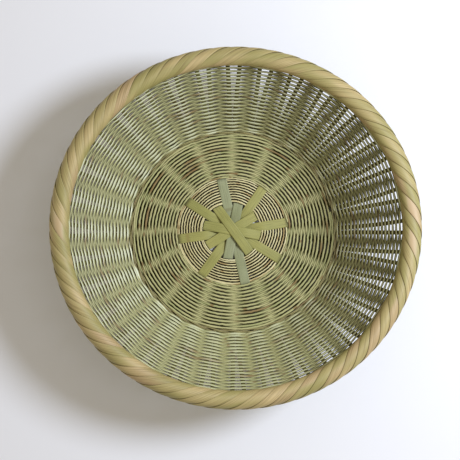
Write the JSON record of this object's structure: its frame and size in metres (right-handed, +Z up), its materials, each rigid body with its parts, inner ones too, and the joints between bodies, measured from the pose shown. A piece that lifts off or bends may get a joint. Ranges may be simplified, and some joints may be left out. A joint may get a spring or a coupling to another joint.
{
  "type": "zaru bamboo basket",
  "caption": "Round shallow draining basket of split bamboo: star base, plain woven floor and flared wall on split ribs, thick rim wound with a flat strip.",
  "frame": {"origin": "on the ground plane under the middle of the base ring, bottom centre of the bounding box", "axes": "+Z up, out of the basket's mouth; +X along the rim's longer diameter, to the right in the picture; +Y along the shorter diameter, towards the top of the picture"},
  "size_m": [0.2996, 0.2922, 0.085],
  "materials": {
    "olive_strip": "smooth split bamboo skin, olive yellow-green, satin",
    "grey_green_strip": "smooth split bamboo skin, grey-green, satin",
    "rib": "split bamboo, dull green, satin",
    "centre_weft": "fine split strands, cream to tan, satin",
    "base_weft": "fine split strands, pale green with some tan and brown, satin",
    "ring_weft": "twined split strands, olive, satin",
    "wall_weft": "fine split strands with skin side showing, grey-green, soft sheen",
    "rim_hoop": "thick split bamboo hoops, hidden under the wrap, matt",
    "rim_wrap": "flat peeled strip, straw yellow to pale olive, fine grain, satin"
  },
  "bodies": {
    "root": {"long_strip_1": "olive_strip", "long_strip_2": "olive_strip", "long_strip_3": "grey_green_strip", "long_strip_4": "olive_strip", "short_strip_1": "olive_strip", "short_strip_2": "grey_green_strip", "short_strip_3": "olive_strip", "short_strip_4": "olive_strip", "added_rib_01": "rib", "added_rib_02": "rib", "added_rib_03": "rib", "added_rib_04": "rib", "added_rib_05": "rib", "added_rib_06": "rib", "added_rib_07": "rib", "added_rib_08": "rib", "added_rib_09": "rib", "added_rib_10": "rib", "added_rib_11": "rib", "added_rib_12": "rib", "added_rib_13": "rib", "added_rib_14": "rib", "added_rib_15": "rib", "added_rib_16": "rib", "centre_weave": "centre_weft", "base_weave": "base_weft", "base_ring": "ring_weft", "wall_weave": "wall_weft", "rim_inner_hoop": "rim_hoop", "rim_outer_hoop": "rim_hoop", "rim_filler": "rim_hoop", "rim_wrap": "rim_wrap"}
  },
  "joints": []
}
